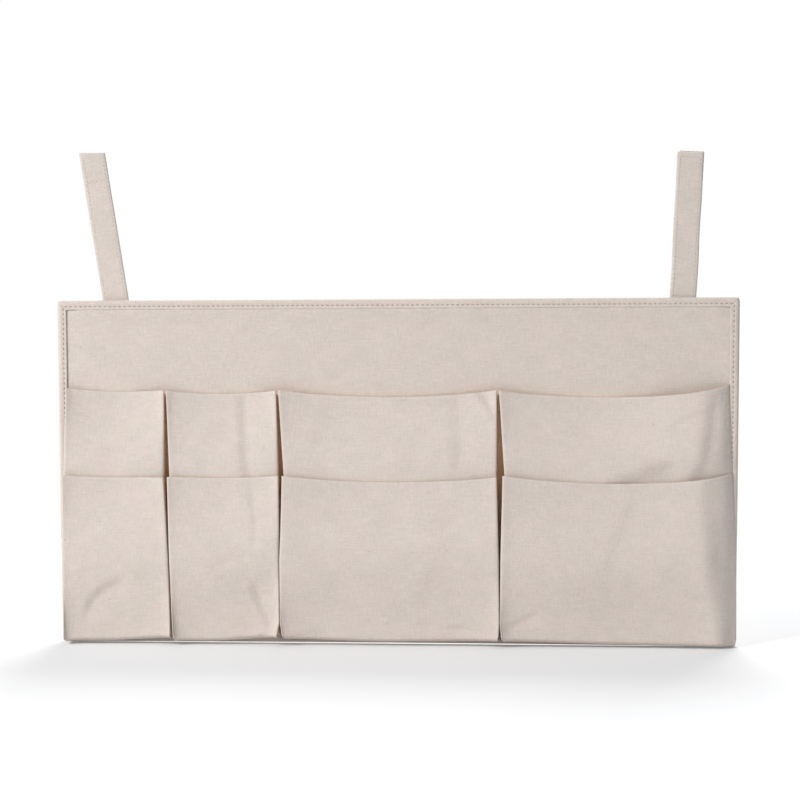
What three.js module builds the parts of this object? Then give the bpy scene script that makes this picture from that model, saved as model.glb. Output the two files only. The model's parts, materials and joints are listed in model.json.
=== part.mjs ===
// Hanging bedside organiser: a stiffened canvas panel with a bound edge, two rows of four pleated
// pockets, and two straps that fold back over a bed rail and close with hook and loop.
// Millimetres. +Z is up, the pocketed front faces -Y, and +X is to the right as seen from the front.
// The origin is the centre of the back cover's rear face.

import * as THREE from "three";

// ---------- driving dimensions ----------

const PANEL_WIDTH = 600;
const PANEL_HEIGHT = 300;
const CLOTH = 0.7; // canvas thickness
const BOARD = 1.5; // stiffening board thickness
const GAP = 0.3; // clearance between layers that touch

const BINDING_LEG = 8; // how far the edge binding reaches in over each face
const MITRE_CLEARANCE = 0.2;
const STITCH_INSET = 5.3; // topstitching, measured in from the outer edge
const THREAD_WIDTH = 0.6;
const THREAD_THICKNESS = 0.4;

const POCKET_CLOTH = 0.9;
const COLUMNS_LEFT_EDGE = -296.6;
const COLUMN_WIDTHS = [92.5, 96.4, 190.3, 199.5];
const COLUMN_GAP = 3.5;
const POCKET_BOTTOM = -148;
const POCKET_CORNER = 5; // radius of a pocket front's lower corners
const POCKET_ROWS = [
  { name: "tall", mouth: 69, depth: 10, sags: [1.5, 2.5, 4, 5] },
  { name: "front", mouth: -6, depth: 9.5, sags: [2, 2.5, 5, 6] },
];

const STRAP_WIDTH = 23;
const STRAP_THICKNESS = 1.4; // two layers of canvas
const STRAP_TAIL = 52; // length sewn down behind the panel
const STRAP_END = 130; // the tip's end, above the panel's top edge
const STRAP_FOLDS = [3, 28, 55.2, 90.2]; // fold lines, above the panel's top edge
const FOLD_GAP = 3; // slack cloth at a fold line
const PATCH_WIDTH = 20;
const PATCH_THICKNESS = 1.2;
const HOOK_PATCH = { from: 103.2, to: 128.5 };
const LOOP_PATCH = { from: -42, to: -13 };
const STRAPS = [
  { name: "left", x: -249.7, lean: -8.65 },
  { name: "right", x: 251.2, lean: 2.8 },
];

// ---------- depths of the layers, rear face first ----------

const BACK_COVER_Y = 0;
const BOARD_Y = BACK_COVER_Y - CLOTH - GAP;
const FRONT_COVER_Y = BOARD_Y - BOARD - GAP;
const BINDING_REAR_Y = BACK_COVER_Y + GAP + CLOTH;
const BINDING_FRONT_Y = FRONT_COVER_Y - CLOTH - GAP - CLOTH;
const THREAD_Y = BINDING_FRONT_Y - GAP;
const POCKET_REAR_Y = THREAD_Y - THREAD_THICKNESS - GAP;
const STRAP_FRONT_Y = BINDING_REAR_Y + GAP;
const PATCH_FRONT_Y = STRAP_FRONT_Y + STRAP_THICKNESS + GAP;

// ---------- materials ----------

const canvas = { color: 0xd9ccc2, roughness: 0.95, metalness: 0 };
const tape = { color: 0xdacdc4, roughness: 0.95, metalness: 0 };
const thread = { color: 0xe8ddd3, roughness: 0.8, metalness: 0 };
const greyboard = { color: 0x9a9186, roughness: 0.9, metalness: 0 };
const hook = { color: 0xe4dcd0, roughness: 0.7, metalness: 0 };
const loop = { color: 0xe9e2d8, roughness: 1, metalness: 0 };

const group = new THREE.Group();

function addMesh(parent, name, geometry, finish) {
  const mesh = new THREE.Mesh(geometry, new THREE.MeshStandardMaterial(finish));
  mesh.name = name;
  parent.add(mesh);
  return mesh;
}

// A box from its lower and upper corners.
function addBox(parent, name, low, high, finish, segments = [1, 1, 1]) {
  const size = low.map((value, i) => high[i] - value);
  const mesh = addMesh(parent, name, new THREE.BoxGeometry(...size, ...segments), finish);
  mesh.position.set(...low.map((value, i) => value + size[i] / 2));
  return mesh;
}

// ---------- the panel: two covers with a board between them ----------

function addPanelLayer(name, rearY, thickness, margin, finish, segments) {
  const halfWidth = PANEL_WIDTH / 2 - margin;
  const halfHeight = PANEL_HEIGHT / 2 - margin;
  const low = [-halfWidth, rearY - thickness, -halfHeight];
  const high = [halfWidth, rearY, halfHeight];
  addBox(group, name, low, high, finish, segments);
}

const COVER_MARGIN = CLOTH + GAP;
const BOARD_MARGIN = 3;
const FACE_GRID = [3, 1, 3]; // the rear face's middle cell stays clear of the binding
addPanelLayer("back_cover", BACK_COVER_Y, CLOTH, COVER_MARGIN, canvas, FACE_GRID);
addPanelLayer("stiffener_board", BOARD_Y, BOARD, BOARD_MARGIN, greyboard);
addPanelLayer("front_cover", FRONT_COVER_Y, CLOTH, COVER_MARGIN, canvas);

// ---------- the edge binding and its topstitching ----------

// The binding's section: a U that wraps the panel's edge. x runs inward from the edge.
function bindingSection() {
  const outline = [
    [0, BINDING_FRONT_Y],
    [BINDING_LEG, BINDING_FRONT_Y],
    [BINDING_LEG, BINDING_FRONT_Y + CLOTH],
    [CLOTH, BINDING_FRONT_Y + CLOTH],
    [CLOTH, BINDING_REAR_Y - CLOTH],
    [BINDING_LEG, BINDING_REAR_Y - CLOTH],
    [BINDING_LEG, BINDING_REAR_Y],
    [0, BINDING_REAR_Y],
  ];
  return new THREE.Shape(outline.map(([x, y]) => new THREE.Vector2(x, y)));
}

// The section swept along one side, with both ends mitred at 45 degrees.
function bindingGeometry(length) {
  const geometry = new THREE.ExtrudeGeometry(bindingSection(), { depth: length, bevelEnabled: false });
  geometry.translate(0, 0, -length / 2);
  const points = geometry.getAttribute("position");
  for (let i = 0; i < points.count; i += 1) {
    const end = length / 2 - points.getX(i) - MITRE_CLEARANCE;
    points.setZ(i, Math.sign(points.getZ(i)) * end);
  }
  return geometry;
}

// Each side is built as the left one and turned about Y.
const SIDES = [
  { name: "top", turn: 90, length: PANEL_WIDTH, reach: PANEL_HEIGHT / 2 },
  { name: "left", turn: 0, length: PANEL_HEIGHT, reach: PANEL_WIDTH / 2 },
  { name: "bottom", turn: -90, length: PANEL_WIDTH, reach: PANEL_HEIGHT / 2 },
  { name: "right", turn: 180, length: PANEL_HEIGHT, reach: PANEL_WIDTH / 2 },
];

for (const side of SIDES) {
  const frame = new THREE.Group();
  frame.rotation.y = THREE.MathUtils.degToRad(side.turn);
  group.add(frame);
  const binding = addMesh(frame, `binding_${side.name}`, bindingGeometry(side.length), tape);
  binding.position.x = -side.reach;

  const threadX = -side.reach + STITCH_INSET - THREAD_WIDTH / 2;
  const threadEnd = side.length / 2 - STITCH_INSET - THREAD_WIDTH;
  addBox(
    frame,
    `binding_thread_${side.name}`,
    [threadX, THREAD_Y - THREAD_THICKNESS, -threadEnd],
    [threadX + THREAD_WIDTH, THREAD_Y, threadEnd],
    thread,
  );
}

// ---------- the pockets ----------

// A pocket front seen face on, with a sagging mouth and rounded lower corners. x starts at its left edge.
function pocketFrontGeometry(width, bottom, mouth, sag) {
  const r = POCKET_CORNER;
  const outline = new THREE.Shape();
  outline.moveTo(r, bottom);
  outline.lineTo(width - r, bottom);
  outline.absarc(width - r, bottom + r, r, -Math.PI / 2, 0, false);
  outline.lineTo(width, mouth);
  outline.quadraticCurveTo(width / 2, mouth - 2 * sag, 0, mouth);
  outline.lineTo(0, bottom + r);
  outline.absarc(r, bottom + r, r, Math.PI, 1.5 * Math.PI, false);
  const settings = { depth: POCKET_CLOTH, bevelEnabled: false, curveSegments: 6 };
  const geometry = new THREE.ExtrudeGeometry(outline, settings);
  // the outline's own up becomes +Z, and its thickness grows towards -Y
  return geometry.rotateX(Math.PI / 2);
}

function addPocket(row, column, left, rearY) {
  const label = `${row.name}_pocket_${column + 1}`;
  const width = COLUMN_WIDTHS[column];
  const right = left + width;
  const sag = row.sags[column];
  const innerY = rearY - row.depth + POCKET_CLOTH;
  const front = pocketFrontGeometry(width, POCKET_BOTTOM, row.mouth, sag);
  addMesh(group, `${label}_front`, front, canvas).position.set(left, innerY, 0);

  const foldY = innerY + GAP;
  const pleats = [
    ["left_pleat", left],
    ["right_pleat", right - POCKET_CLOTH],
  ];
  for (const [name, x] of pleats) {
    addBox(
      group,
      `${label}_${name}`,
      [x, foldY, POCKET_BOTTOM],
      [x + POCKET_CLOTH, rearY, row.mouth],
      canvas,
    );
  }
  addBox(
    group,
    `${label}_bottom_tuck`,
    [left + POCKET_CLOTH + GAP, foldY, POCKET_BOTTOM],
    [right - POCKET_CLOTH - GAP, rearY, POCKET_BOTTOM + POCKET_CLOTH],
    canvas,
  );
}

let rowRearY = POCKET_REAR_Y;
for (const row of POCKET_ROWS) {
  let left = COLUMNS_LEFT_EDGE;
  for (let column = 0; column < COLUMN_WIDTHS.length; column += 1) {
    addPocket(row, column, left, rowRearY);
    left += COLUMN_WIDTHS[column] + COLUMN_GAP;
  }
  rowRearY -= row.depth + GAP;
}

// ---------- the straps ----------

// A flat length of a strap, or a patch on it, centred on the strap's own line.
function addFlat(parent, name, width, frontY, thickness, from, to, finish) {
  const low = [-width / 2, frontY, from];
  const high = [width / 2, frontY + thickness, to];
  addBox(parent, name, low, high, finish);
}

for (const strap of STRAPS) {
  const frame = new THREE.Group();
  frame.position.set(strap.x, 0, PANEL_HEIGHT / 2);
  frame.rotation.y = THREE.MathUtils.degToRad(strap.lean);
  group.add(frame);

  const cuts = [-STRAP_TAIL, ...STRAP_FOLDS, STRAP_END];
  const lengths = ["tail", "riser", "bridge", "fall", "tip"];
  lengths.forEach((name, i) => {
    const from = cuts[i] + (i > 0 ? FOLD_GAP / 2 : 0);
    const to = cuts[i + 1] - (i < lengths.length - 1 ? FOLD_GAP / 2 : 0);
    const label = `${strap.name}_strap_${name}`;
    addFlat(frame, label, STRAP_WIDTH, STRAP_FRONT_Y, STRAP_THICKNESS, from, to, canvas);
  });

  const patches = [
    ["hook_patch", HOOK_PATCH, hook],
    ["loop_patch", LOOP_PATCH, loop],
  ];
  for (const [name, { from, to }, finish] of patches) {
    const label = `${strap.name}_strap_${name}`;
    addFlat(frame, label, PATCH_WIDTH, PATCH_FRONT_Y, PATCH_THICKNESS, from, to, finish);
  }
}

export default group;
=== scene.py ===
"""Looks of the hanging bedside organiser: canvas covers, binding, pleated pockets, straps and thread."""

import json
import math

import bpy
import numpy as np
from mathutils import Euler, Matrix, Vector


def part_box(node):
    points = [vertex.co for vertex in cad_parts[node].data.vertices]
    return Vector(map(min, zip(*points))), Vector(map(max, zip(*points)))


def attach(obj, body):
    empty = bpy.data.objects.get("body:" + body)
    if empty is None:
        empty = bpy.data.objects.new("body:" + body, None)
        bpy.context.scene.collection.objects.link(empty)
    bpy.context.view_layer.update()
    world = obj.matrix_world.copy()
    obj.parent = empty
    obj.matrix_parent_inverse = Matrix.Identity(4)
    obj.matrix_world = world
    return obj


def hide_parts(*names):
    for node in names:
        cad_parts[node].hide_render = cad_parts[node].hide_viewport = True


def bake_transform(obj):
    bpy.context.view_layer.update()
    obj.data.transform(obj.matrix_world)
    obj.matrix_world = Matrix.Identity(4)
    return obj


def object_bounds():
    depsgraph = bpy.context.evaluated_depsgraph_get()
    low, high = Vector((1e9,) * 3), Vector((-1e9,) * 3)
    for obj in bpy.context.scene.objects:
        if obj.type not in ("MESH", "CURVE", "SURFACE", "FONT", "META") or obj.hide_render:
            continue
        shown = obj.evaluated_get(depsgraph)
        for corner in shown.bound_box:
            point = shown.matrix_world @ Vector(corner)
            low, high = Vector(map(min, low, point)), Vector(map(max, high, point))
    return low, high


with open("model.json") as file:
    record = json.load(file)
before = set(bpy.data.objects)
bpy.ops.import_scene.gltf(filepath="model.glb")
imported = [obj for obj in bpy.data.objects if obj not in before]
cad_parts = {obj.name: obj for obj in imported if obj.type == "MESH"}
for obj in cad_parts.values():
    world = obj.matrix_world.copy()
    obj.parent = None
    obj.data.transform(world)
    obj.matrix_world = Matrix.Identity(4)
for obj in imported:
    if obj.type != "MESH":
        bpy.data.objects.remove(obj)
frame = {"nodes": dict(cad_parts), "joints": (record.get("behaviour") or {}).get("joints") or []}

MM = 0.001
CAD_LOW, CAD_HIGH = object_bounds()
JOINTS = {joint["name"]: joint for joint in frame["joints"]}

# ---------- driving sizes ----------

CANVAS = 0.75 * MM  # thickness of a single layer, as it shows at a folded mouth
COVER = 0.7 * MM
COLUMNS = 4  # of pockets, in two rows
THREAD = 0.7 * MM  # diameter of the binding's sewing thread
FINE_THREAD = 0.3 * MM  # and of the straps'
STITCH_PITCH = 4.4 * MM
STITCH_LENGTH = 2.8 * MM
WEAVE = 0.5 * MM  # from one thread of the canvas to the next
FLOOR_GAP = 2.6 * MM  # clear height under the hanging panel

PANEL_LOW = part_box("binding_left")[0].x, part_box("binding_bottom")[0].z
PANEL_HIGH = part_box("binding_right")[1].x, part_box("binding_top")[1].z
HALF_WIDTH = (PANEL_HIGH[0] - PANEL_LOW[0]) / 2
HALF_HEIGHT = (PANEL_HIGH[1] - PANEL_LOW[1]) / 2


# ---------- smooth noise ----------


def lattice(x, y, seed):
    """One steady value from -1 to 1 for each whole-numbered point."""
    mixed = np.sin(x * 127.1 + y * 311.7 + seed * 74.7) * 43758.5453
    return (mixed - np.floor(mixed)) * 2 - 1


def noise(x, y, size, seed):
    """Smooth noise from -1 to 1 whose bumps are about size across."""
    x, y = np.asarray(x) / size, np.asarray(y) / size
    x0, y0 = np.floor(x), np.floor(y)
    fx, fy = x - x0, y - y0
    fx, fy = fx * fx * (3 - 2 * fx), fy * fy * (3 - 2 * fy)
    low = lattice(x0, y0, seed) * (1 - fx) + lattice(x0 + 1, y0, seed) * fx
    high = lattice(x0, y0 + 1, seed) * (1 - fx) + lattice(x0 + 1, y0 + 1, seed) * fx
    return low * (1 - fy) + high * fy


def ripples(x, y, waves, seed):
    """Smooth noises added up. Each wave is how far across its bumps are, and how high they are."""
    return sum(noise(x, y, size, seed + n) * height for n, (size, height) in enumerate(waves))


def smooth(value, low, high):
    """0 below low, 1 above high, and smooth between them."""
    t = np.clip((np.asarray(value) - low) / (high - low), 0, 1)
    return t * t * (3 - 2 * t)


# How far the loaded panel hangs from square: each corner's drift to the right and upward, in millimetres.
CORNER_DRIFT = {(-1, 1): (-0.2, 1.1), (1, 1): (-1.2, 2.4), (-1, -1): (0.8, -2.4), (1, -1): (-3.3, -2.6)}
BOTTOM_BOW = 1.0 * MM  # how much higher the bottom edge is at its middle than between its corners


def hung(points):
    """The points of a piece of the panel, carried along as the panel hangs a little out of square."""
    x, y, z = points[..., 0], points[..., 1], points[..., 2]
    across, up = np.clip(x / HALF_WIDTH, -1, 1), np.clip(z / HALF_HEIGHT, -1, 1)
    moved = np.stack([x, y, z], axis=-1)
    for (side, end), (right, rise) in CORNER_DRIFT.items():
        share = (1 + side * across) * (1 + end * up) / 4
        moved = moved + share[..., None] * np.array([right * MM, 0, rise * MM])
    moved[..., 2] += BOTTOM_BOW * (1 - across**2) * (1 - up) / 2
    return moved


# ---------- materials ----------


class Shader:
    """A short way to write a material's nodes."""

    def __init__(self, name):
        self.material = bpy.data.materials.new(name)
        self.material.use_nodes = True
        self.tree = self.material.node_tree
        self.shader = self.tree.nodes["Principled BSDF"]

    def node(self, kind, settings=None, **inputs):
        """A node, with its settings, and each input linked or set. Underscores stand for spaces."""
        made = self.tree.nodes.new("ShaderNode" + kind)
        for key, value in (settings or {}).items():
            setattr(made, key, value)
        for key, value in inputs.items():
            self.put(made.inputs[self.socket(key)], value)
        return made

    @staticmethod
    def socket(key):
        return int(key[2:]) if key.startswith("in") and key[2:].isdigit() else key.replace("_", " ")

    def put(self, socket, value):
        if isinstance(value, bpy.types.NodeSocket):
            self.tree.links.new(value, socket)
        else:
            socket.default_value = value

    def maths(self, operation, first, second=0.0, third=0.0):
        made = self.node("Math", {"operation": operation}, in0=first, in1=second, in2=third)
        return made.outputs[0]

    def uv(self):
        """Place on the flat cloth, in metres: across, along."""
        split = self.node("SeparateXYZ", in0=self.node("UVMap", {"uv_map": "cloth"}).outputs[0])
        return split.outputs[0], split.outputs[1]

    def place(self, x, y):
        return self.node("CombineXYZ", X=x, Y=y).outputs[0]

    def noise(self, vector, scale, detail=2.0, rough=0.5):
        made = self.node("TexNoise", Vector=vector, Scale=scale, Detail=detail, Roughness=rough)
        return made.outputs["Fac"]

    def scaled(self, x, y, across, along):
        """A vector in which a feature is across by along metres."""
        return self.place(self.maths("MULTIPLY", x, 1 / across), self.maths("MULTIPLY", y, 1 / along))

    def ramp(self, value, low, high, start=0.0, end=1.0):
        """value from low to high, mapped to start to end and held there."""
        made = self.node("MapRange", in0=value, in1=low, in2=high, in3=start, in4=end)
        return made.outputs[0]

    def blend(self, mode, share, first, second):
        made = self.node("MixRGB", {"blend_type": mode}, in0=share, in1=first, in2=second)
        return made.outputs[0]

    def bump(self, height, strength, distance, normal=None):
        made = self.node("Bump", Strength=strength, Distance=distance, Height=height)
        if normal is not None:
            self.put(made.inputs["Normal"], normal)
        return made.outputs[0]


SEED_FLECK = (0.3, 0.22, 0.16, 1)
# painted shade: these two tints darken and warm the cloth where it is out of the light, in pleats, slots and
# above mouths
PAINTED_SHADE_TINT = (0.97, 0.90, 0.82, 1)  # multiplies cloth that is out of the light
PAINTED_PLEAT_SHADE_TINT = (1.46, 1.23, 0.97, 1)  # and again cloth that is deep in a pleat


def canvas_material(name, colour, with_painted_shade=True):
    """Plain-woven cotton and linen: uneven yarns, slubs, seed flecks and a slight blotchiness, with painted
    shade where the cloth is out of the light unless that is turned off.
    """
    s = Shader(name)
    x, y = s.uv()

    # yarns wander a little, so the weave never looks ruled
    wander = s.noise(s.scaled(x, y, 9 * MM, 9 * MM), 1.0, 1.0)
    shift = s.maths("MULTIPLY", s.maths("SUBTRACT", wander, 0.5), 1.6 * MM)
    wx, wy = s.maths("ADD", x, shift), s.maths("SUBTRACT", y, shift)
    turn = math.pi / WEAVE
    warp = s.maths("SINE", s.maths("MULTIPLY", wx, turn))
    weft = s.maths("SINE", s.maths("MULTIPLY", wy, turn))
    crossing = s.maths("MULTIPLY", warp, weft)

    warp_slub = s.noise(s.scaled(wx, wy, 1.5 * MM, 8 * MM), 1.0, 3.0, 0.6)
    weft_slub = s.noise(s.scaled(wx, wy, 13 * MM, 1.4 * MM), 1.0, 3.0, 0.6)
    slub = s.maths("ADD", warp_slub, weft_slub)
    grain = s.noise(s.scaled(x, y, 2.0 * MM, 2.0 * MM), 1.0, 3.0, 0.7)
    blotch = s.noise(s.scaled(x, y, 26 * MM, 22 * MM), 1.0, 2.0)
    cloud = s.noise(s.scaled(y, x, 16 * MM, 21 * MM), 1.0, 1.0)

    pink = tuple(c * k for c, k in zip(colour, (1.012, 0.988, 0.992))) + (1,)
    grey = tuple(c * k for c, k in zip(colour, (0.982, 0.992, 0.974))) + (1,)
    base = s.blend("MIX", s.ramp(blotch, 0.38, 0.62), grey, pink)
    base = s.blend("MULTIPLY", 1.0, base, grey_level(s, s.ramp(cloud, 0.25, 0.75, 0.98, 1.025)))
    base = s.blend("MULTIPLY", 1.0, base, grey_level(s, s.ramp(slub, 0.72, 1.28, 0.935, 1.055)))
    base = s.blend("MULTIPLY", 1.0, base, grey_level(s, s.ramp(grain, 0.3, 0.7, 0.95, 1.045)))
    base = s.blend("MULTIPLY", 1.0, base, grey_level(s, s.ramp(crossing, -1.0, 1.0, 0.96, 1.03)))

    # seed flecks: sparse, tan, about a millimetre across
    fleck = s.node("TexVoronoi", Vector=s.scaled(x, y, 1.0, 1.0), Scale=1 / (13 * MM), Randomness=1.0)
    near = s.ramp(fleck.outputs["Distance"], 0.035, 0.065, 1.0, 0.0)
    rare = s.ramp(s.noise(s.scaled(x, y, 14 * MM, 14 * MM), 1.0, 0.0), 0.5, 0.56)
    flecked = s.maths("MULTIPLY", s.maths("MULTIPLY", near, rare), 0.4)
    base = s.blend("MIX", flecked, base, SEED_FLECK)

    if with_painted_shade:
        # painted shade: cloth out of the light, in a pleat or behind a mouth, is darkened and warmed to stand
        # in for its shadow and warm bounced light
        depth = s.node("Attribute", {"attribute_name": "tuck"}).outputs["Fac"]
        base = s.blend("MULTIPLY", s.maths("MULTIPLY", depth, depth), base, PAINTED_PLEAT_SHADE_TINT)
        base = s.blend("MULTIPLY", depth, base, PAINTED_SHADE_TINT)

    relief = s.maths("ADD", s.maths("MULTIPLY", crossing, 0.5), s.maths("MULTIPLY", slub, 1.6))
    relief = s.maths("ADD", relief, s.maths("MULTIPLY", grain, 0.8))
    s.put(s.shader.inputs["Base Color"], base)
    s.put(s.shader.inputs["Roughness"], s.ramp(slub, 0.7, 1.3, 0.96, 0.84))
    s.put(s.shader.inputs["Normal"], s.bump(relief, 0.42, 0.25 * MM))
    s.shader.inputs["Sheen Weight"].default_value = 0.12
    s.shader.inputs["Sheen Roughness"].default_value = 0.5
    s.shader.inputs["Specular IOR Level"].default_value = 0.2
    return s.material


def grey_level(s, value):
    """A colour whose three channels are all value."""
    return s.node("CombineColor", in0=value, in1=value, in2=value).outputs[0]


def thread_material(name, dark, light):
    """Twisted cotton thread: fine slanting plies along each stitch."""
    s = Shader(name)
    x, y = s.uv()
    slant = s.maths("ADD", s.maths("MULTIPLY", x, 2.0), y)
    ply = s.maths("SINE", s.maths("MULTIPLY", slant, 2 * math.pi / (0.5 * MM)))
    fuzz = s.noise(s.scaled(x, y, 0.4 * MM, 1.5 * MM), 1.0)
    s.put(s.shader.inputs["Base Color"], s.blend("MIX", s.ramp(ply, -1.0, 1.0, 0.2, 0.9), dark, light))
    s.put(s.shader.inputs["Roughness"], s.ramp(fuzz, 0.3, 0.7, 0.55, 0.8))
    s.put(s.shader.inputs["Normal"], s.bump(ply, 0.5, 0.1 * MM))
    s.shader.inputs["Sheen Weight"].default_value = 0.2
    return s.material


def hook_material():
    """Hook tape: ranks of stiff little hooks on a woven ground."""
    s = Shader("hook_tape")
    x, y = s.uv()
    rank = s.maths("SINE", s.maths("MULTIPLY", x, 2 * math.pi / (1.5 * MM)))
    file = s.maths("SINE", s.maths("MULTIPLY", y, 2 * math.pi / (1.7 * MM)))
    hooks = s.ramp(s.maths("MULTIPLY", rank, file), 0.1, 0.7)
    worn = s.noise(s.scaled(x, y, 6 * MM, 6 * MM), 1.0)
    ground, tip = (0.50, 0.45, 0.38, 1), (0.72, 0.67, 0.58, 1)
    base = s.blend("MIX", hooks, ground, tip)
    base = s.blend("MULTIPLY", 1.0, base, grey_level(s, s.ramp(worn, 0.3, 0.7, 0.92, 1.04)))
    s.put(s.shader.inputs["Base Color"], base)
    s.put(s.shader.inputs["Roughness"], s.ramp(worn, 0.3, 0.7, 0.4, 0.6))
    s.put(s.shader.inputs["Normal"], s.bump(hooks, 0.9, 0.6 * MM))
    return s.material


def loop_material():
    """Loop tape: a soft, matted pile."""
    s = Shader("loop_tape")
    x, y = s.uv()
    pile = s.noise(s.scaled(x, y, 0.8 * MM, 0.8 * MM), 1.0, 6.0, 0.8)
    matted = s.noise(s.scaled(x, y, 5 * MM, 7 * MM), 1.0, 2.0)
    shade, light = (0.55, 0.50, 0.44, 1), (0.74, 0.70, 0.63, 1)
    base = s.blend("MIX", s.ramp(pile, 0.3, 0.7), shade, light)
    s.put(s.shader.inputs["Base Color"], base)
    s.put(s.shader.inputs["Roughness"], s.ramp(matted, 0.3, 0.7, 0.85, 1.0))
    s.put(s.shader.inputs["Normal"], s.bump(s.maths("ADD", pile, matted), 0.8, 0.7 * MM))
    s.shader.inputs["Sheen Weight"].default_value = 0.5
    return s.material


def board_material():
    """Pressed grey board, made from flecked waste paper."""
    s = Shader("grey_board")
    where = s.node("TexCoord").outputs["Object"]
    pulp = s.noise(where, 900.0, 4.0, 0.7)
    fleck = s.noise(where, 260.0, 1.0)
    base = s.blend("MIX", s.ramp(pulp, 0.3, 0.7), (0.25, 0.22, 0.19, 1), (0.36, 0.33, 0.29, 1))
    base = s.blend("MIX", s.ramp(fleck, 0.66, 0.72), base, (0.12, 0.11, 0.10, 1))
    s.put(s.shader.inputs["Base Color"], base)
    s.put(s.shader.inputs["Roughness"], s.ramp(pulp, 0.3, 0.7, 0.8, 0.95))
    s.put(s.shader.inputs["Normal"], s.bump(pulp, 0.3, 0.2 * MM))
    return s.material


CANVAS_COLOUR = (0.611, 0.537, 0.486)
CLOTH = canvas_material("pocket_canvas", CANVAS_COLOUR)
# the binding tape gets no painted shade
TAPE = canvas_material("binding_canvas", tuple(c * 1.01 for c in CANVAS_COLOUR), with_painted_shade=False)
STITCHES = thread_material("binding_thread", (0.39, 0.28, 0.21, 1), (0.56, 0.45, 0.37, 1))
FINE_STITCHES = thread_material("strap_thread", (0.52, 0.45, 0.40, 1), (0.61, 0.54, 0.48, 1))
HOOK = hook_material()
LOOP = loop_material()
BOARD = board_material()


# ---------- meshes ----------


def add_mesh(name, points, faces, uv, material, tuck=None):
    """A smooth-shaded mesh object. uv is one place on the flat cloth for each point, in metres. The optional
    last argument is painted shade for each point, which the cloth material turns into a darker, warmer tint.
    """
    mesh = bpy.data.meshes.new(name)
    mesh.from_pydata(points.tolist(), [], faces)
    mesh.polygons.foreach_set("use_smooth", [True] * len(mesh.polygons))
    corner = np.zeros(len(mesh.loops), np.int32)
    mesh.loops.foreach_get("vertex_index", corner)
    layer = mesh.uv_layers.new(name="cloth")
    layer.data.foreach_set("uv", uv[corner].astype(np.float32).ravel())
    # painted shade: a point attribute that the cloth material reads as a darker, warmer tint
    if tuck is not None:
        attribute = mesh.attributes.new("tuck", "FLOAT", "POINT")
        attribute.data.foreach_set("value", tuck.astype(np.float32))
    mesh.materials.append(material)
    made = bpy.data.objects.new(name, mesh)
    bpy.context.scene.collection.objects.link(made)
    return made


def unit(vectors):
    length = np.linalg.norm(vectors, axis=-1, keepdims=True)
    return vectors / np.maximum(length, 1e-12)


def cloth_distance(middle):
    """How far each point of a grid of points lies across and along the flat cloth."""
    across = np.linalg.norm(np.diff(middle, axis=1), axis=2)
    along = np.linalg.norm(np.diff(middle, axis=0), axis=2)
    rows, columns = middle.shape[:2]
    u = np.concatenate([[0], np.cumsum(across[rows // 2])])
    v = np.concatenate([[0], np.cumsum(along[:, columns // 2])])
    return np.stack(np.meshgrid(u, v), axis=-1)


def solid_cloth(name, middle, thickness, material, cut_ends=(False, False), tuck=None, offset=(0, 0)):
    """A closed sheet of cloth with rounded edges around a grid of points, rows by columns.

    Its outer face is where columns x rows points. cut_ends cuts the first or last row square, where the
    next length of the same cloth carries straight on.
    """
    rows, columns = middle.shape[:2]
    across, along = np.gradient(middle, axis=1), np.gradient(middle, axis=0)
    normal = unit(np.cross(across, along))
    outer, inner = middle + normal * thickness / 2, middle - normal * thickness / 2

    last_row, last_column = rows - 1, columns - 1
    ring = [(0, i) for i in range(columns)] + [(j, last_column) for j in range(1, rows)]
    ring += [(last_row, i) for i in range(last_column - 1, -1, -1)]
    ring += [(j, 0) for j in range(last_row - 1, 0, -1)]
    j, i = np.array(ring).T
    out = across[j, i] * ((i == last_column) * 1.0 - (i == 0))[:, None]
    bottom, top = (j == 0) & (not cut_ends[0]), (j == last_row) & (not cut_ends[1])
    out = unit(out) + unit(along[j, i]) * (top * 1.0 - bottom)[:, None]
    rim = middle[j, i] + unit(out) * thickness / 2

    grid = np.arange(rows * columns).reshape(rows, columns)
    a, b, c, d = grid[:-1, :-1], grid[:-1, 1:], grid[1:, 1:], grid[1:, :-1]
    front = np.stack([a, b, c, d], axis=-1).reshape(-1, 4)
    back = front[:, ::-1] + rows * columns
    edge = grid[j, i]
    hoop = np.arange(len(ring)) + 2 * rows * columns
    after = np.roll(edge, -1), np.roll(hoop, -1)
    outer_rim = np.stack([after[0], edge, hoop, after[1]], axis=-1)
    inner_rim = np.stack([after[1], hoop, edge + rows * columns, after[0] + rows * columns], axis=-1)
    faces = np.concatenate([front, back, outer_rim, inner_rim]).tolist()

    place = cloth_distance(middle) + np.array(offset)
    points = np.concatenate([outer.reshape(-1, 3), inner.reshape(-1, 3), rim])
    uv = np.concatenate([place.reshape(-1, 2), place.reshape(-1, 2), place[j, i]])
    if tuck is not None:
        tuck = np.concatenate([tuck.ravel(), tuck.ravel(), tuck[j, i]])
    piece = add_mesh(name, points, faces, uv, material, tuck)
    cut = grid[[end for end, is_cut in zip((0, last_row), cut_ends) if is_cut]].ravel()
    if len(cut):
        sharpen(piece.data, np.concatenate([cut, cut + rows * columns]))
    return piece


def sharpen(mesh, corners):
    """Keep the shading crisp along every edge whose two ends are among the given corners."""
    ends = np.zeros(2 * len(mesh.edges), np.int32)
    mesh.edges.foreach_get("vertices", ends)
    crisp = np.isin(ends.reshape(-1, 2), corners).all(axis=1)
    mesh.attributes.new("sharp_edge", "BOOLEAN", "EDGE").data.foreach_set("value", crisp)


def stitch_line(start, end, face, pitch=STITCH_PITCH):
    """The middle, direction and outward face of each stitch from start to end."""
    start, end = np.array(start, float), np.array(end, float)
    count = max(1, round(np.linalg.norm(end - start) / pitch))
    share = (np.arange(count) + 0.5) / count
    middles = start + (end - start) * share[:, None]
    way = np.tile(unit(end - start), (count, 1))
    return middles, way, np.tile(np.array(face, float), (count, 1))


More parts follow.
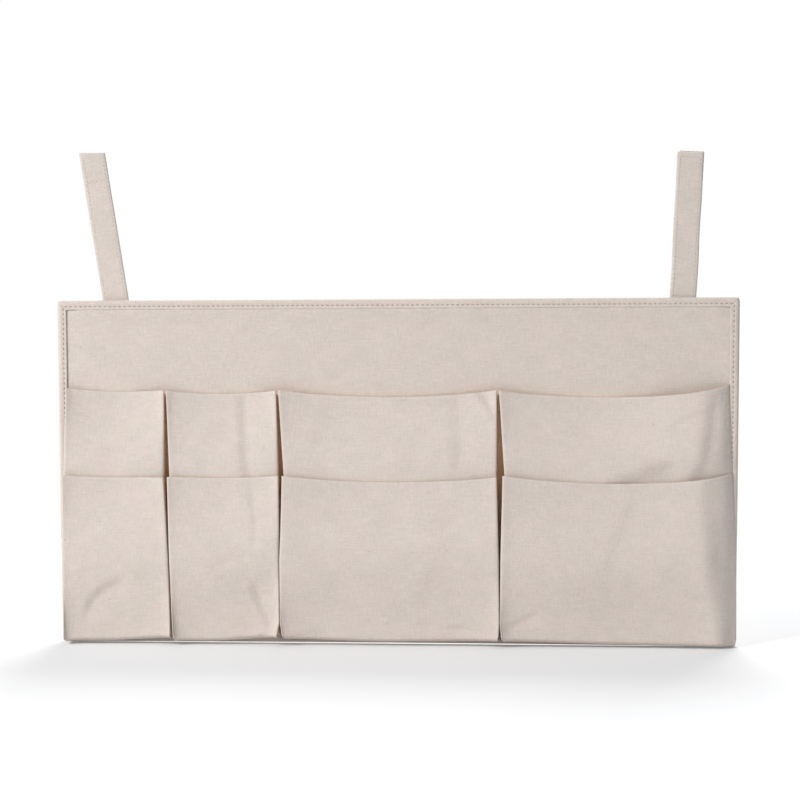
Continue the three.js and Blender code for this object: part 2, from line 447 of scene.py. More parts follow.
def stitches(name, lines, length=STITCH_LENGTH, thick=THREAD, material=STITCHES):
    """Every stitch of several lines, each a short arch of thread whose ends dive into the cloth."""
    middles, ways, faces_out = (np.concatenate(parts) for parts in zip(*lines))
    sides = 6
    along = np.array([-0.5, -0.36, 0.0, 0.36, 0.5]) * length
    height = np.array([-0.55, 0.12, 0.3, 0.12, -0.55]) * thick
    girth = np.array([0.55, 0.95, 1.0, 0.95, 0.55]) * thick / 2
    angle = np.arange(sides) * 2 * math.pi / sides
    side_way = np.cross(ways, faces_out)
    wobble = noise(middles[:, 0] * 7 + middles[:, 2] * 5, middles[:, 1], 3 * MM, 5) * 0.06
    ways = unit(ways + side_way * wobble[:, None])
    side_way = np.cross(ways, faces_out)

    ring = np.cos(angle)[:, None, None] * side_way[None] + np.sin(angle)[:, None, None] * faces_out[None]
    centre = middles[None] + along[:, None, None] * ways[None] + height[:, None, None] * faces_out[None]
    points = centre[:, None] + girth[:, None, None, None] * ring[None]
    points = points.transpose(2, 0, 1, 3).reshape(-1, 3)

    one = []
    for level in range(len(along) - 1):
        for k in range(sides):
            a, b = level * sides + k, level * sides + (k + 1) % sides
            one.append([a, a + sides, b + sides, b])
    top = (len(along) - 1) * sides
    ends = [list(range(sides)), [top + k for k in range(sides - 1, -1, -1)]]
    each = len(along) * sides
    faces = [[v + n * each for v in face] for n in range(len(middles)) for face in one + ends]
    u = np.tile(np.tile(angle * thick / 2, len(along)), len(middles))
    v = np.tile(np.repeat(along, sides), len(middles)) + np.repeat(np.arange(len(middles)), each) * length
    return add_mesh(name, points, faces, np.stack([u, v], axis=-1), material)


# ---------- the panel's covers ----------

COVER_STEP = 3 * MM
COVER_WAVES = [(70 * MM, 0.45 * MM), (24 * MM, 0.16 * MM)]
UNDER_BINDING = 9 * MM  # the covers stay flat out to here from the panel's edge
TOP_SWELL = 0.95 * MM  # under the top binding the cover stands up nearly level with the tape
MOUTH_SHADE = 0.3  # share of the pleats' own shade, right above any mouth
MOUTH_SHADE_HEIGHT = 4 * MM
WIDE_MOUTH_SHADE = 0.12  # added in a band above the two wide columns

# how each pocket hangs, in millimetres: how high its mouth is above the drawn one, the mouth's sag, its rise
# at the left and right ends, and how far its front swells near the right end
HANG = {
    "tall_pocket_1": {"raise": 2.2, "sag": 1.4, "rise": (2.6, 0.0)},
    "tall_pocket_2": {"raise": 1.8, "sag": 3.0, "rise": (0.0, 0.0)},
    "tall_pocket_3": {"raise": 2.0, "sag": 6.2, "rise": (0.4, 0.0)},
    "tall_pocket_4": {"raise": 1.8, "sag": 6.5, "rise": (-0.4, 4.5), "swell": 6.0},
    "front_pocket_1": {"raise": 2.6, "sag": 0.8, "rise": (1.4, -0.6)},
    "front_pocket_2": {"raise": 2.6, "sag": 1.4, "rise": (0.0, 1.0)},
    "front_pocket_3": {"raise": 2.2, "sag": 4.6, "rise": (1.4, 0.4)},
    "front_pocket_4": {"raise": 1.4, "sag": 4.8, "rise": (2.6, 4.5)},
}


def mouth_height(name, share):
    """Height of a pocket's mouth, at a share of the way across it."""
    hang, top = HANG[name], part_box(name + "_front")[1].z
    ends = hang["rise"][0] * (1 - share) ** 4 + hang["rise"][1] * share**6
    return top + (hang["raise"] + ends - hang["sag"] * (4 * share * (1 - share)) ** 0.8) * MM


def mouth_shade(name, x, z):
    """How far the cloth just above a pocket's mouth is kept from the light."""
    low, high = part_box(name + "_front")
    share = (x - low.x) / (high.x - low.x)
    above = z - mouth_height(name, np.clip(share, 0, 1))
    shade = MOUTH_SHADE * np.exp(-np.maximum(above, 0) / MOUTH_SHADE_HEIGHT)
    shade = shade * smooth(above, -2 * MOUTH_SHADE_HEIGHT, -3 * MM)
    return shade * (share > -0.01) * (share < 1.01)


def pocket_shade(x, z):
    """How far the panel's front is kept from the light by the pockets: in the slots, and above the mouths."""
    tall = [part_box(f"tall_pocket_{number}_front") for number in range(1, COLUMNS + 1)]
    shade = sum(mouth_shade(f"tall_pocket_{number}", x, z) for number in range(1, COLUMNS + 1))
    band = 1 - smooth(z, tall[0][1].z + 4 * MM, tall[0][1].z + 13 * MM)
    shade = shade + WIDE_MOUTH_SHADE * band * smooth(x, tall[1][0].x, tall[2][0].x)
    for left, right in zip(tall, tall[1:]):
        slot = 1 - smooth(abs(x - (left[1].x + right[0].x) / 2), 6 * MM, 9 * MM)
        shade = np.maximum(shade, slot * (1 - smooth(z, left[1].z - 6 * MM, left[1].z + 1 * MM)))
    return shade


def cover(name, facing, seed):
    """A stretched canvas cover with the faintest ripples. facing is -1 for the front, 1 for the back."""
    low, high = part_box(name)
    x = np.linspace(low.x, high.x, round((high.x - low.x) / COVER_STEP))
    z = np.linspace(low.z, high.z, round((high.z - low.z) / COVER_STEP))
    hem = HALF_HEIGHT - np.array([7.0, 8.0, 8.6, 9.4, 11.0, 13.0]) * MM
    x, z = np.meshgrid(x[:: -facing], np.sort(np.concatenate([z, hem])))
    inside = np.minimum(HALF_WIDTH - abs(x), HALF_HEIGHT - abs(z))
    ripple = ripples(x, z, COVER_WAVES, seed) * smooth(inside, UNDER_BINDING, 3 * UNDER_BINDING)
    top_inset = HALF_HEIGHT - z
    swell = TOP_SWELL * smooth(top_inset, 7.4 * MM, 8.8 * MM) * (1 - smooth(top_inset, 9 * MM, 24 * MM))
    swell *= smooth(HALF_WIDTH - abs(x), 8 * MM, 20 * MM)
    y = np.full_like(x, (low.y + high.y) / 2) + facing * (abs(ripple) + swell)
    # painted shade on the front cover: in the slots between pockets and just above their mouths
    tuck = pocket_shade(x, z) if facing < 0 else np.zeros_like(x)
    points = hung(np.stack([x, y, z], axis=-1))
    piece = solid_cloth(name + "_cloth", points, COVER, CLOTH, tuck=tuck, offset=(seed, 0))
    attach(piece, "panel")
    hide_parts(name)
    return piece


cover("front_cover", -1, 3)
cover("back_cover", 1, 11)
board = frame["nodes"]["stiffener_board"]
board.data.materials.clear()
board.data.materials.append(BOARD)

# ---------- the edge binding ----------

LEG = 8 * MM
BINDING_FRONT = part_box("binding_top")[0].y
BINDING_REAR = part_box("binding_top")[1].y
STITCH_INSET = 5.3 * MM
CORNER = 3.5 * MM  # the panel's corners are slightly rounded
BINDING_STEP = 1.6 * MM
EDGE_ROUND = 2.1 * MM  # how far in from the edge the tape's fold begins to turn
SEAM_GROOVE = 1.1 * MM  # half the width of the groove that the seam pulls
SEAM_DEPTH = 0.10 * MM
PUFF = 0.22 * MM  # how far the tape stands off on each side of the groove
EDGE_WANDER = 0.25 * MM  # how far the folded edge strays, front to back


def turned(points, degrees):
    """Points turned about the vertical face's own axis, Y: 0 is the left side and 90 is the top."""
    c, s = math.cos(math.radians(degrees)), math.sin(math.radians(degrees))
    x, y, z = points[..., 0], points[..., 1], points[..., 2]
    return np.stack([x * c + z * s, y, -x * s + z * c], axis=-1)


def binding_profile():
    """The tape's own section, from its rear inner edge round the fold to its front inner edge: inset, y."""
    front, rear = BINDING_FRONT + COVER / 2, BINDING_REAR - COVER / 2
    middle = (front + rear) / 2
    leg = np.linspace(LEG, COVER / 2 + EDGE_ROUND, 8)
    angle = np.linspace(90, -90, 9)[1:-1] * math.pi / 180
    inset = np.concatenate([leg, COVER / 2 + EDGE_ROUND * (1 - np.cos(angle)), leg[::-1]])
    y = np.concatenate([leg * 0 + rear, middle + (rear - middle) * np.sin(angle), leg * 0 + front])
    return inset, y


def binding(side, turn, half_length, reach, seed):
    """One side's tape, mitred at both ends, with its two rows of topstitching."""
    inset, y = binding_profile()
    share = np.linspace(-1, 1, round(2 * half_length / BINDING_STEP))
    share, inset = np.meshgrid(share, inset, indexing="ij")
    y = np.tile(y, (share.shape[0], 1))
    straight = half_length - CORNER
    bend = np.maximum(CORNER - inset, 0)
    full = np.where(bend > 0, straight + bend * math.pi / 4, half_length - inset) - 0.1 * MM
    run = abs(share) * full
    angle = np.where(bend > 0, np.maximum(run - straight, 0) / np.maximum(bend, 1e-9), 0)
    along = np.where(angle > 0, straight + bend * np.sin(angle), run) * np.sign(share)
    inward = np.where(angle > 0, CORNER - bend * np.cos(angle), inset)

    # the seam pulls the tape down, and its loose inner edge lifts a little
    outward = np.sign(y - (BINDING_FRONT + BINDING_REAR) / 2)
    on_leg = smooth(inset, 2 * MM, 3.5 * MM)
    pull = np.exp(-(((inset - STITCH_INSET) / SEAM_GROOVE) ** 2))
    hole = 0.5 + 0.5 * np.cos(2 * math.pi * along / STITCH_PITCH)
    puff = PUFF * on_leg * (1 - pull) * (1 + 0.5 * noise(along, inset, 9 * MM, seed))
    y = y + outward * (puff - SEAM_DEPTH * pull * hole * on_leg)
    y = y + EDGE_WANDER * noise(along, inset * 0, 55 * MM, seed + 2) * (1 - on_leg)

    points = hung(turned(np.stack([inward - reach, y, along], axis=-1), turn))
    piece = solid_cloth(f"binding_{side}_tape", points, COVER, TAPE, offset=(0, seed))
    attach(piece, "panel")
    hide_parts(f"binding_{side}")

    end, x = half_length - STITCH_INSET, STITCH_INSET - reach
    lines = []
    for face, depth in ((-1, BINDING_FRONT), (1, BINDING_REAR)):
        start, stop = hung(turned(np.array([[x, depth, -end], [x, depth, end]]), turn))
        lines.append(stitch_line(start, stop, (0, face, 0)))
    thread = stitches(f"binding_{side}_stitches", lines)
    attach(thread, "panel")
    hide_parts(f"binding_thread_{side}")


binding("top", 90, HALF_WIDTH, HALF_HEIGHT, 21)
binding("left", 0, HALF_HEIGHT, HALF_WIDTH, 31)
binding("bottom", -90, HALF_WIDTH, HALF_HEIGHT, 41)
binding("right", 180, HALF_HEIGHT, HALF_WIDTH, 51)

# ---------- the pockets ----------

POCKET_STEP = 2.2 * MM
FOLD_RADIUS = 1.8 * MM  # at a pleated pocket's upright edges
BOTTOM_CURVE = 4 * MM  # height over which the cloth turns back to the bottom seam
TUCK_IN = 5 * MM  # how far a side pleat folds inward
SLOPING_SIDE = 32 * MM  # the last column's outer side has no pleat: it slopes back to its seam
SEAM_STEP = 0.6 * MM  # the front row's seams lie this far in front of the tall row's
POCKET_WAVES = [(52 * MM, 0.6 * MM), (19 * MM, 0.22 * MM), (8 * MM, 0.06 * MM)]

Z_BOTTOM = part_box("front_pocket_1_front")[0].z
Z_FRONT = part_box("front_pocket_1_front")[1].z

# the slots between columns: heights above the pockets' bottoms, then at each height the gap's visible width
# and how far its middle strays to the right, all in millimetres
SLOTS = [
    {
        "tall": ([0, 142, 217], [5.0, 4.2, 1.4], [1.9, 0.9, -0.8]),
        "front": ([0, 7, 20, 72, 142], [3.6, 1.8, 1.4, 0.6, 2.6], [5.2, 5.0, 4.7, 3.3, 0.5]),
    },
    {
        "tall": ([0, 142, 217], [5.0, 4.2, 1.7], [2.8, 2.8, -1.0]),
        "front": ([0, 7, 18, 72, 100, 142], [9.0, 4.0, 0.3, 0.2, 0.9, 2.7], [2.0, 1.4, 1.7, 1.4, 2.2, 2.4]),
    },
    {
        "tall": ([0, 142, 217], [5.0, 6.4, 1.6], [2.1, 2.1, -0.6]),
        "front": ([0, 7, 18, 72, 142], [5.0, 2.0, 0.3, 1.1, 4.6], [2.0, 1.8, 1.6, 1.4, 1.2]),
    },
]
# the first column's left fold and the last one's right seam: heights above the bottom, and how far each runs
# from the panel's edge there
LEFT_FOLD = ([0, 142, 217], [6.0, 5.8, 7.9])
RIGHT_SEAM = ([0, 80, 217], [1.4, 2.2, 8.6])

# how near the middle of each row's mouth comes to its seams' depth, and its ends, as shares of the depth
CLOSED = {"tall": (-0.10, 0.62), "front": (0.08, 0.66)}
FOOT = {"tall": 0.4, "front": 0.5}  # how much shallower each row is at its foot than at its belly
# how far each column's bottom edge lifts at its left and right ends, in millimetres
LIFT = [(0.0, 2.6), (0.2, 3.2), (2.4, 1.6), (1.6, -0.8)]

# soft folds. Each is a curve up the pocket's front, given by its start, bend and end (across from the left,
# up from the bottom, as shares of the pocket's size). Walking from start to end, the cloth on the right drops
# back by the first length, over the second length each side of the curve, and recovers over the third.
FOLDS = {
    "front_pocket_1": [
        ((0.17, 0.12), (0.27, 0.37), (0.61, 0.39), (2.0, 4.6, 14)),
        ((0.46, 0.22), (0.75, 0.11), (0.99, 0.01), (0.9, 1.1, 9)),
    ],
    "tall_pocket_2": [((0.71, 0.60), (0.66, 0.80), (0.68, 1.05), (2.4, 6.5, 15))],
    "front_pocket_2": [
        ((0.97, 0.06), (0.80, 0.18), (0.73, 0.40), (2.6, 4.6, 10)),
        ((0.60, 0.025), (0.78, 0.02), (0.92, 0.06), (1.4, 1.6, 7)),
        ((0.75, 0.55), (0.78, 0.80), (0.72, 1.02), (0.8, 2.8, 9)),
        ((0.33, 0.44), (0.52, 0.54), (0.75, 0.55), (0.7, 3.2, 13)),
    ],
    "tall_pocket_3": [
        ((0.80, 0.64), (0.84, 0.80), (0.80, 1.05), (1.6, 10, 15)),
        ((0.99, 0.86), (0.985, 0.95), (0.89, 1.01), (2.2, 2.4, 30)),
        ((0.02, 0.70), (0.20, 0.80), (0.24, 1.02), (0.5, 9, 25)),
    ],
    "front_pocket_3": [
        ((0.74, 0.09), (0.87, 0.14), (0.98, 0.02), (1.3, 2.0, 8)),
        ((0.02, 0.02), (0.07, 0.08), (0.24, 0.06), (1.1, 2.0, 8)),
        ((0.60, 0.20), (0.80, 0.50), (0.74, 0.90), (0.9, 14, 30)),
    ],
    "tall_pocket_4": [
        ((0.42, 0.62), (0.60, 0.655), (0.79, 0.74), (4.6, 11, 18)),
        ((0.80, 0.62), (0.90, 0.72), (0.945, 1.03), (3.2, 8.0, 20)),
        ((0.70, 0.84), (0.80, 0.92), (0.97, 0.94), (1.0, 4, 16)),
    ],
    "front_pocket_4": [
        ((0.93, 0.36), (0.90, 0.75), (0.86, 1.04), (2.2, 13, 40)),
        ((0.42, 0.42), (0.53, 0.68), (0.585, 0.98), (1.5, 10, 22)),
        ((0.01, 0.11), (0.08, 0.13), (0.16, 0.21), (1.5, 3, 10)),
    ],
}


def fold_relief(across, up, fold, size):
    """How far one soft fold moves the cloth outward at each point, given as shares of the pocket's size."""
    start, bend, end, (drop, half_width, recovery) = fold
    t = np.linspace(0, 1, 32)[:, None]
    line = (1 - t) ** 2 * np.array(start) + 2 * t * (1 - t) * np.array(bend) + t * t * np.array(end)
    line = line * np.array(size)
    away = np.stack([across * size[0], up * size[1]], axis=-1)[..., None, :] - line
    distance = np.linalg.norm(away, axis=-1)
    nearest = distance.argmin(axis=-1)
    near = np.take_along_axis(distance, nearest[..., None], axis=-1)[..., 0]
    way = np.gradient(line, axis=0)[nearest]
    offset = np.take_along_axis(away, nearest[..., None, None], axis=-2)[..., 0, :]
    rightward = near * np.sign(way[..., 1] * offset[..., 0] - way[..., 0] * offset[..., 1]) / MM
    fall = smooth(rightward, -half_width, half_width) * np.exp(-np.maximum(rightward, 0) / recovery)
    beyond = np.minimum(nearest, len(t) - 1 - nearest) / (len(t) - 1)
    taper = smooth(beyond, -0.04, 0.22) * np.exp(-((near / MM / (3 * recovery)) ** 2))
    return -drop * MM * fall * taper


def slot_edge(row, number, z, side):
    """Where a pocket's left (side -1) or right (side 1) fold runs at height z."""
    low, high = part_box(f"{row}_pocket_{number}_front")
    above = (z - Z_BOTTOM) / MM
    gap = number - 2 if side < 0 else number - 1
    if gap < 0:
        return PANEL_LOW[0] + np.interp(above, *LEFT_FOLD) * MM
    if gap >= len(SLOTS):
        return PANEL_HIGH[0] - np.interp(above, *RIGHT_SEAM) * MM
    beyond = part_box(f"{row}_pocket_{number + side}_front")
    edge, facing = (low.x, beyond[1].x) if side < 0 else (high.x, beyond[0].x)
    heights, widths, strays = SLOTS[gap][row]
    width = np.interp(above, heights, widths) * MM + CANVAS
    stray = np.interp(above, heights, strays) * MM
    return (edge + facing) / 2 + stray - side * width / 2


def side_stations(depth, sloping):
    """One side of a pocket's section, from the seam to the start of the front.

    Each station has a shift inward in metres, a share of the pocket's own depth, a share of the layers
    behind it, how much painted shade it gets deep in its pleat, and how far the mouth dips there.
    """
    if sloping:
        way = np.linspace(0, 1, 17)[:-1]
        out = 1 - (1 - way) ** 2
        return SLOPING_SIDE * way, out, out, way * 0, way * 0
    pleat = np.linspace(0, 1, 9)[:-1]
    corner = np.linspace(0, 90, 5)[:-1] * math.pi / 180
    turn = FOLD_RADIUS / depth
    out = np.concatenate([pleat * (1 - turn), 1 - turn * (1 - np.sin(corner))])
    shift = np.concatenate([TUCK_IN * np.sin(math.pi * pleat**1.2), FOLD_RADIUS * (1 - np.cos(corner))])
    # painted shade: full deep in the pleat, fading out as the pleat comes round to the front
    tucked = np.concatenate([1 - smooth(pleat, 0.6, 1.0), corner * 0])
    return shift, out, out * 0 + 1, tucked, 1 - out


def pocket_stations(number, width, depth):
    """The pocket's section from the left seam round the front to the right seam."""
    sloping = number == COLUMNS
    right_turn = SLOPING_SIDE if sloping else FOLD_RADIUS
    left, right = side_stations(depth, False), side_stations(depth, sloping)
    shaded = left[3] * (number > 1)  # the first column's left pleat is out in the light
    front = np.linspace(0, 1, round(width / POCKET_STEP))
    across = np.concatenate([left[0] * 0, front, right[0] * 0 + 1])
    left_shift = np.concatenate([left[0], FOLD_RADIUS * (1 - front), right[0] * 0])
    right_shift = np.concatenate([left[0] * 0, -right_turn * front, -right[0][::-1]])
    whole, none = front * 0 + 1, front * 0
    middles = (whole, whole, none, none)
    out, behind, tuck, dip = (
        np.concatenate([one, middle, other[::-1]])
        for one, middle, other in zip((*left[1:3], shaded, left[4]), middles, right[1:])
    )
    return across, left_shift, right_shift, out, behind, tuck, dip


def pocket(row, number, seed):
    """One pocket: a single piece of canvas from seam to seam, turned under to its bottom seam."""
    name = f"{row}_pocket_{number}"
    hang = HANG[name]
    low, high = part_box(name + "_front")
    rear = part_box(name + "_left_pleat")[1].y
    base = BINDING_FRONT - CANVAS / 2 - (SEAM_STEP if row == "front" else 0)
    width, height = high.x - low.x, high.z - low.z
    depth = rear - low.y - CANVAS / 2
    layers = base - rear

    stations = pocket_stations(number, width, depth)
    turn = np.linspace(0, 90, 8) * math.pi / 180
    upright = np.linspace(0, 1, round((height - BOTTOM_CURVE) / POCKET_STEP))[1:]
    curve = np.concatenate([np.sin(turn), upright * 0 + 1])[:, None]
    bottom_share = np.concatenate([(1 - np.cos(turn)), upright * 0 + 1])[:, None]
    rise = np.concatenate([turn * 0, upright])[:, None]
    stations = [np.tile(station, (len(curve), 1)) for station in stations]
    across, left_shift, right_shift, out, behind, tuck, dip = stations
    if number == COLUMNS:
        right_shift = right_shift * (0.6 + 0.4 * smooth(rise, 0.0, 0.55 if row == "front" else 0.1))
    shift = left_shift + right_shift
    share = np.clip(across + shift / width, 0, 1)

    # heights: the bottom edge lifts towards its corners, and the mouth sags between its ends
    lift = LIFT[number - 1]
    lift = lift[0] * (1 - smooth(share, 0, 0.5)) + lift[1] * smooth(share, 0.35, 1)
    lift = lift + (1.5 if row == "tall" else 0)
    bottom = low.z + lift * MM
    middle = 1 - (2 * share - 1) ** 2
    mouth = mouth_height(name, share) - 2.5 * MM * dip
    z = bottom + BOTTOM_CURVE * bottom_share + (mouth - bottom - BOTTOM_CURVE) * rise

    # sides: each fold follows its slot
    left, right = slot_edge(row, number, z, -1), slot_edge(row, number, z, 1)
    x = left * (1 - across) + right * across + shift

    # depth: the mouth's middle lies nearer the panel, the foot tapers, and folds and ripples add to that
    share_up = (z - low.z) / height
    relief = ripples(x, z, POCKET_WAVES, seed)
    for fold in FOLDS.get(name, []):
        relief = relief + fold_relief(share, share_up, fold, (width, height))
    held = smooth(share, -0.02, 0.05) * smooth(1 - share, -0.02, 0.05) * smooth(curve, 0.5, 1.0)
    centre, end = CLOSED[row]
    closed = 1 - end - (centre - end) * middle**0.7
    closed = closed * smooth(rise, 0.62 if row == "tall" else 0.4, 1.0)
    low_down = middle**0.3 * (1 - smooth(rise, 0.0, 0.6))
    foot, behind = FOOT[row] * low_down, behind * (1 - FOOT["tall"] * low_down)
    swell = hang.get("swell", 0) * MM * out * smooth(share, 0.45, 0.87)
    swell = swell * smooth(z, Z_FRONT - 4 * MM, Z_FRONT + 22 * MM)
    reach = depth * out * (1 - closed - foot) + swell + relief * held * smooth(out, 0.3, 0.9)
    y = base - (layers * behind + reach) * curve
    points = hung(np.stack([x, y, z], axis=-1))
    # painted shade on a tall pocket's front, just above the front pocket's mouth
    if row == "tall":
        tuck = np.maximum(tuck, mouth_shade(f"front_pocket_{number}", x, z))
    piece = solid_cloth(name + "_cloth", points, CANVAS, CLOTH, tuck=tuck, offset=(seed, 0))

    parts = ("front", "left_pleat", "right_pleat", "bottom_tuck")
    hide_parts(*(f"{name}_{part}" for part in parts))
    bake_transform(piece)
    return piece


for number in range(1, COLUMNS + 1):
    pocket("tall", number, 60 + number * 10)
    pocket("front", number, 110 + number * 10)

# ---------- the straps ----------

STRAP_THICKNESS = 1.4 * MM
STRAP_STEP = 1.2 * MM
EDGE_STITCH = 2.2 * MM  # topstitching, in from a strap's long edges
END_STITCH = 3.5 * MM
STRAP_JOINTS = ["lean", "fold", "fold_over", "fold_tip"]
STRAP_PIECES = [("root", ["tail"]), ("riser", ["riser"]), ("bridge", ["bridge"]), ("end", ["fall", "tip"])]
STRAP_PITCH = 3.6 * MM
STRAP_STITCH = STRAP_PITCH * 0.74
PATCH_STITCH_INSET = 1.6 * MM
PATCH_PITCH = 3 * MM
PATCH_STITCH = 2.3 * MM
# how far each strap hangs from its drawn place, to the right and upward, and how much higher its tip's left
# corner stands than its right, in millimetres
STRAP_DRIFT = {"left": (0.7, 2.4, 1.7), "right": (-1.3, -2.6, 0.0)}


def reach_along(node, origin, way):
    """Lowest and highest distance of a CAD node's points from origin, along way."""
    points = np.array([vertex.co for vertex in frame["nodes"][node].data.vertices])
    distance = (points - origin) @ way
    return distance.min(), distance.max()


def patch(name, body, material, seed, side_way, way, drift):
    """A rectangle of hook or loop tape, sewn down round its edge."""
    low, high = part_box(name)
    centre = np.array((low + high) / 2) + drift
    x_reach, z_reach = reach_along(name, centre, side_way), reach_along(name, centre, way)
    across = np.linspace(x_reach[1], x_reach[0], 21)
    along = np.linspace(z_reach[0], z_reach[1], 27)
    across, along = np.meshgrid(across, along)
    sewn = np.minimum(x_reach[1] - abs(across), z_reach[1] - abs(along))
    thickness = high.y - low.y
    lift = 0.15 * MM * smooth(sewn, 0.5 * MM, 2.5 * MM) + noise(across, along, 5 * MM, seed) * 0.08 * MM
    points = centre + across[..., None] * side_way + along[..., None] * way
    points[..., 1] += lift
    piece = solid_cloth(name + "_tape", points, thickness, material)
    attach(piece, body)
    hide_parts(name)

    x0, x1 = x_reach[0] + PATCH_STITCH_INSET, x_reach[1] - PATCH_STITCH_INSET
    z0, z1 = z_reach[0] + PATCH_STITCH_INSET, z_reach[1] - PATCH_STITCH_INSET
    lines, depth = [], np.array([0, thickness / 2 + 0.05 * MM, 0])
    corners = [(x0, z0), (x1, z0), (x1, z1), (x0, z1)]
    for (xa, za), (xb, zb) in zip(corners, corners[1:] + corners[:1]):
        start = centre + xa * side_way + za * way + depth
        end = centre + xb * side_way + zb * way + depth
        lines.append(stitch_line(start, end, (0, 1, 0), PATCH_PITCH))
    thread = stitches(name + "_stitches", lines, PATCH_STITCH, FINE_THREAD, FINE_STITCHES)
    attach(thread, body)


def strap(side, seed):
    """One strap, in four lengths that meet halfway between its folds."""
    joints = [JOINTS[f"{side}_strap_{name}"] for name in STRAP_JOINTS]
    places = [np.array(joint["pos_m"]) for joint in joints]
    way = unit(places[-1] - places[0])
    side_way = np.array([way[2], 0, -way[0]])
    origin = places[0]
    folds = [(place - origin) @ way for place in places]
    start = reach_along(f"{side}_strap_tail", origin, way)[0]
    end = reach_along(f"{side}_strap_tip", origin, way)[1]
    half = reach_along(f"{side}_strap_fall", origin, side_way)[1] - STRAP_THICKNESS / 2
    right, rise, slant = STRAP_DRIFT[side]
    drift = np.array([right * MM, 0, rise * MM])
    cuts = [start] + [(a + b) / 2 for a, b in zip(folds, folds[1:])] + [end]
    hook = reach_along(f"{side}_strap_hook_patch", origin, way)
    front, rear = -STRAP_THICKNESS / 2, STRAP_THICKNESS / 2

    def at(across, along, y=0.0):
        return origin + drift + across * side_way + along * way + np.array([0, y, 0])

    for n, (label, nodes) in enumerate(STRAP_PIECES):
        a, b = cuts[n], cuts[n + 1]
        across = np.linspace(-half, half, 15)
        along = np.linspace(a, b, round((b - a) / STRAP_STEP))
        across, along = np.meshgrid(across, along)
        near_edge = np.exp(-(((half - abs(across) - EDGE_STITCH) / (1.0 * MM)) ** 2))
        wave = noise(along, across, 22 * MM, seed) * 0.25 * MM
        crown = 0.12 * MM * (1 - (across / half) ** 2)
        sway = noise(along, along * 0, 30 * MM, seed + 4) * 0.25 * MM
        if label == "end":
            along = along - slant * MM * across / half * smooth(along, b - 12 * MM, b)
        points = origin + drift + (across + sway)[..., None] * side_way + along[..., None] * way
        points[..., 1] += wave * 0.6 - crown + near_edge * 0.04 * MM
        cut_ends = (n > 0, n < len(STRAP_PIECES) - 1)
        name = f"{side}_strap_{label}_cloth"
        piece = solid_cloth(name, points, STRAP_THICKNESS, TAPE, cut_ends, offset=(seed, a))
        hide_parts(*(f"{side}_strap_{node}" for node in nodes))
        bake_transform(piece)

        lines = []
        edge = half - EDGE_STITCH
        top = b - END_STITCH if n == len(STRAP_PIECES) - 1 else b
        for face, y in ((-1, front), (1, rear)):
            for x in (-edge, edge):
                lines.append(stitch_line(at(x, a, y), at(x, top, y), (0, face, 0), STRAP_PITCH))
            if top < b:
                lines.append(stitch_line(at(-edge, top, y), at(edge, top, y), (0, face, 0), STRAP_PITCH))
                cross = hook[0] + PATCH_STITCH_INSET
                lines.append(stitch_line(at(-edge, cross, y), at(edge, cross, y), (0, face, 0), STRAP_PITCH))
        thread = stitches(f"{side}_strap_{label}_stitches", lines, STRAP_STITCH, FINE_THREAD, FINE_STITCHES)
        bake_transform(thread)

    patch(f"{side}_strap_hook_patch", f"{side}_strap_tip", HOOK, seed + 6, side_way, way, drift)
    patch(f"{side}_strap_loop_patch", "panel", LOOP, seed + 8, side_way, way, drift)


strap("left", 200)
strap("right", 230)

# ---------- floor, light and camera ----------

bpy.ops.mesh.primitive_circle_add(
    vertices=96, radius=0.9, fill_type="NGON", location=(0, 0, CAD_LOW.z - FLOOR_GAP)
)
floor = bpy.context.object
floor.name = "floor"
floor_shader = Shader("floor")
floor_shader.shader.inputs["Base Color"].default_value = (0.70, 0.70, 0.70, 1)
floor_shader.shader.inputs["Roughness"].default_value = 0.9
floor_shader.shader.inputs["Emission Color"].default_value = (1, 1, 1, 1)
floor_shader.shader.inputs["Emission Strength"].default_value = 0.12
floor.data.materials.append(floor_shader.material)


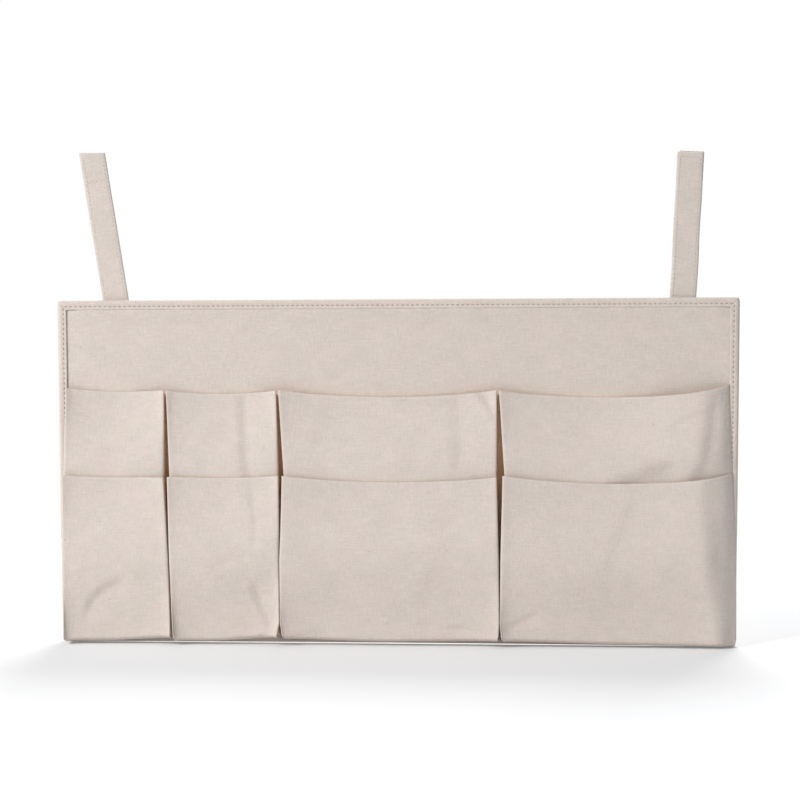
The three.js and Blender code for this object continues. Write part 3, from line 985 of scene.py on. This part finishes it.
def studio_world():
    """A white room that lights the object more gently than it shows behind it."""
    world = bpy.data.worlds.new("studio")
    bpy.context.scene.world = world
    world.use_nodes = True
    nodes, links = world.node_tree.nodes, world.node_tree.links
    soft = nodes["Background"]
    soft.inputs["Color"].default_value = (0.965, 1.0, 1.05, 1)
    soft.inputs["Strength"].default_value = ROOM_LIGHT
    seen = nodes.new("ShaderNodeBackground")
    seen.inputs["Color"].default_value = (1, 1, 1, 1)
    seen.inputs["Strength"].default_value = 1.0
    mix, ray = nodes.new("ShaderNodeMixShader"), nodes.new("ShaderNodeLightPath")
    links.new(ray.outputs["Is Camera Ray"], mix.inputs[0])
    links.new(soft.outputs[0], mix.inputs[1])
    links.new(seen.outputs[0], mix.inputs[2])
    links.new(mix.outputs[0], nodes["World Output"].inputs["Surface"])


def area_light(name, place, target, size, power):
    """A square, white softbox."""
    data = bpy.data.lights.new(name, "AREA")
    data.size = size
    data.energy = power
    light = bpy.data.objects.new(name, data)
    light.location = place
    light.rotation_euler = (Vector(target) - Vector(place)).to_track_quat("-Z", "Y").to_euler()
    bpy.context.scene.collection.objects.link(light)


ROOM_LIGHT = 0.42
studio_world()
bpy.context.scene.view_settings.view_transform = "Standard"
area_light("key", place=(-2.6, -2.4, 2.1), target=(0, 0, 0), size=1.1, power=152)
area_light("floor light", place=(0.2, 1.3, 1.5), target=(0, 0.1, -0.15), size=1.3, power=42)

AZIMUTH, ELEVATION, ROLL = math.radians(4.0), math.radians(3.0), math.radians(-0.2)
DISTANCE = 1.8
TARGET = Vector((4.1 * MM, -10 * MM, 63.5 * MM))
WIDTH_AT_TARGET = 0.699
SENSOR = 36.0

camera_data = bpy.data.cameras.new("camera")
camera_data.sensor_width = SENSOR
camera_data.lens = SENSOR * DISTANCE / WIDTH_AT_TARGET
camera = bpy.data.objects.new("camera", camera_data)
bpy.context.scene.collection.objects.link(camera)
back = Vector(
    (
        math.sin(AZIMUTH) * math.cos(ELEVATION),
        -math.cos(AZIMUTH) * math.cos(ELEVATION),
        math.sin(ELEVATION),
    )
)
camera.location = TARGET + back * DISTANCE
facing = (-back).to_track_quat("-Z", "Y")
camera.rotation_euler = (facing @ Euler((0, 0, ROLL)).to_quaternion()).to_euler()
bpy.context.scene.camera = camera
